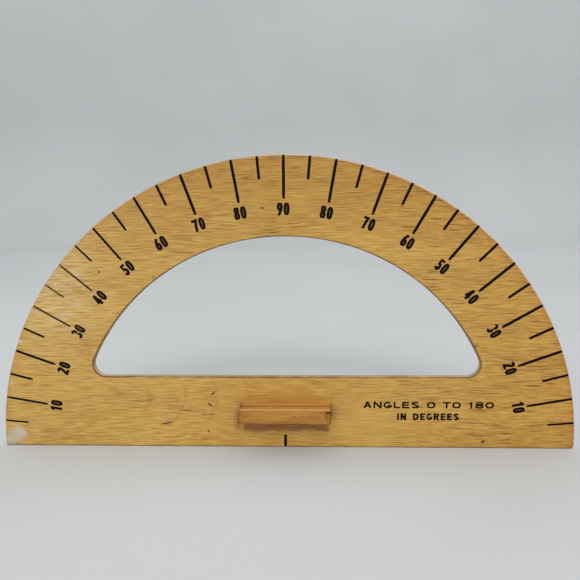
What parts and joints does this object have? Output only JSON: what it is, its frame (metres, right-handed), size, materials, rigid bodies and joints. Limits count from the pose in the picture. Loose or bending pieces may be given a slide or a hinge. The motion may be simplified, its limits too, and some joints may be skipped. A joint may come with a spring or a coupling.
{
  "type": "blackboard protractor",
  "caption": "Half-disc wooden protractor for a blackboard, graduated at its rim both ways, with a D-shaped window and a moulded wooden finger pull on its base bar.",
  "frame": {"origin": "the vertex that every arc is centred on, on the back face, 1.3 mm above the straight edge", "axes": "+X along the straight edge to the right as the printed front is read, +Z from the straight edge to the top of the arc, +Y out of the back face towards the blackboard, so the printed front and the finger pull face -Y"},
  "size_m": [0.381, 0.0208, 0.1918],
  "materials": {
    "face_wood": "amber lacquered rotary-cut veneer, satin to semi-gloss, with short dark grain flecks along the straight edge",
    "cross_ply_wood": "darker end grain of a cross ply, lacquered and rubbed",
    "core_ply_wood": "long grain of the core ply, lacquered and rubbed",
    "handle_wood": "amber lacquered straight-grained moulding, satin, worn at one end",
    "screw_brass": "dull brass with a dirty slot",
    "print_ink": "black screen-printed ink, thin and matt, worn in places"
  },
  "bodies": {
    "root": {"front_face_veneer": "face_wood", "front_crossband": "cross_ply_wood", "core_ply": "core_ply_wood", "back_crossband": "cross_ply_wood", "back_face_veneer": "face_wood", "handle": "handle_wood", "handle_screw_left": "screw_brass", "handle_screw_right": "screw_brass"}
  },
  "joints": []
}
